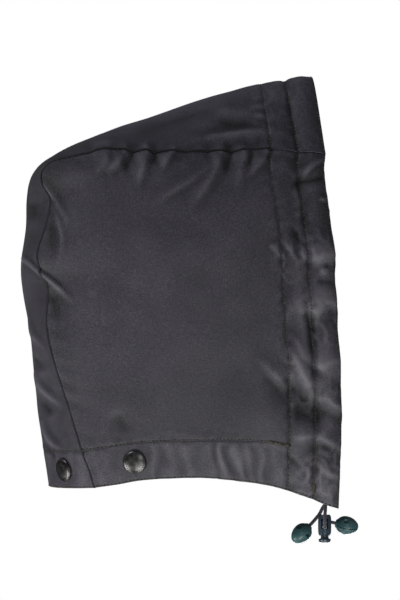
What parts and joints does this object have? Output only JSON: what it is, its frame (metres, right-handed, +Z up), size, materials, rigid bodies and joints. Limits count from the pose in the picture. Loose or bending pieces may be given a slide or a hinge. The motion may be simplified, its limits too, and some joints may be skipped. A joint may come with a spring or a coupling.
{
  "type": "detachable hood",
  "caption": "Waxed-cotton jacket hood, worn: side panels joined by a centre panel over the crown, a drawcord with a cord lock round the face, and press studs along the neck.",
  "frame": {"origin": "on the middle plane where the top of the wearer's head touches the inner face of the centre panel", "axes": "+X the way the face looks, +Y the wearer's left, +Z up"},
  "size_m": [0.2688, 0.1906, 0.3731],
  "materials": {
    "waxed_cotton": "waxed, low sheen",
    "facing_cotton": "matt",
    "snap_metal": "dark gunmetal",
    "cord_braid": "braided",
    "lock_plastic": "satin",
    "end_plastic": "glossy"
  },
  "bodies": {
    "hood": {"side_panel_right": "waxed_cotton", "side_panel_left": "waxed_cotton", "centre_panel": "waxed_cotton", "face_facing": "facing_cotton", "neck_facing": "facing_cotton", "snap_cap_side_right": "snap_metal", "snap_cap_back_right": "snap_metal", "snap_cap_back_left": "snap_metal", "snap_cap_side_left": "snap_metal", "snap_socket_side_right": "snap_metal", "snap_socket_back_right": "snap_metal", "snap_socket_back_left": "snap_metal", "snap_socket_side_left": "snap_metal", "drawcord": "cord_braid", "cord_tail_right": "cord_braid", "cord_tail_left": "cord_braid", "lock_barrel": "lock_plastic", "cord_end_right_upper": "end_plastic", "cord_end_right_lower": "end_plastic", "cord_end_left_upper": "end_plastic", "cord_end_left_lower": "end_plastic"},
    "lock_button": {"lock_button": "lock_plastic"}
  },
  "joints": [
    {"name": "button_press", "type": "slide", "parent": "hood", "child": "lock_button", "axis": [0, 0, 1], "range_m": [0, 0.002], "stiffness_N_per_m": 300}
  ]
}
